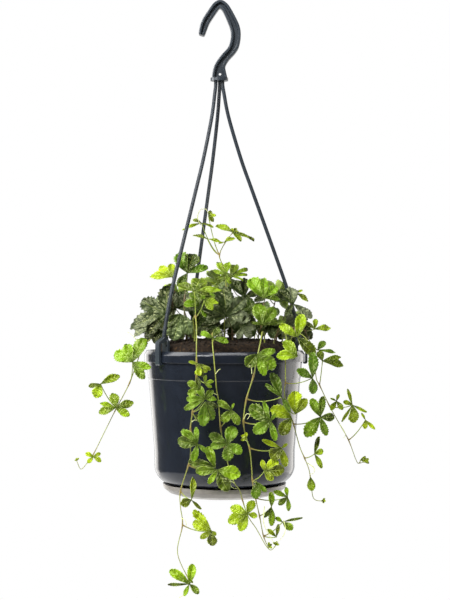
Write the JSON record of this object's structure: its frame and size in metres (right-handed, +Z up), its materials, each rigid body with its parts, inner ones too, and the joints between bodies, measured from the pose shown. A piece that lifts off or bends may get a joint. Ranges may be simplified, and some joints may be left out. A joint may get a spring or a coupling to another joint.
{
  "type": "miniature grape ivy in a hanging pot",
  "caption": "Trailing vine with small palmate leaves, growing in a round plastic pot with a clip-on drip tray and a hook hanger with three arms.",
  "frame": {"origin": "where the inside of the hook's bend rests on its rail or hook", "axes": "+Z up, -Y towards the side with the most trailing stems, +X to the right seen from that side"},
  "size_m": [0.2932, 0.2099, 0.5774],
  "materials": {
    "pot": "dark charcoal moulded polypropylene, softly glossy",
    "drip_tray": "warm grey moulded polypropylene, softly glossy",
    "hanger": "slate grey moulded polypropylene, satin",
    "soil": "loose dark brown peat potting soil",
    "young_leaf": "bright green young leaves on pale green and straw stems, satin",
    "mature_leaf": "olive green mature leaves with a light sheen, on green stems"
  },
  "bodies": {
    "root": {"pot": "pot", "drip_tray": "drip_tray", "soil": "soil", "hanger_hook": "hanger", "hanger_arm_left": "hanger", "hanger_arm_back": "hanger", "hanger_arm_right": "hanger", "stem_trailing_left": "young_leaf", "stem_trailing_centre_left": "young_leaf", "stem_trailing_centre": "young_leaf", "stem_trailing_centre_right": "young_leaf", "stem_trailing_right": "young_leaf", "stem_trailing_far_right": "young_leaf", "stem_trailing_back_left": "young_leaf", "stem_trailing_back_right": "young_leaf", "shoot_left": "mature_leaf", "shoot_centre_left": "mature_leaf", "shoot_tall": "young_leaf", "shoot_centre": "mature_leaf", "shoot_centre_right": "mature_leaf", "shoot_right": "mature_leaf", "shoot_far_right": "mature_leaf", "shoot_middle": "mature_leaf", "shoot_back_left": "mature_leaf", "shoot_back": "mature_leaf", "shoot_back_right": "mature_leaf"}
  },
  "joints": []
}
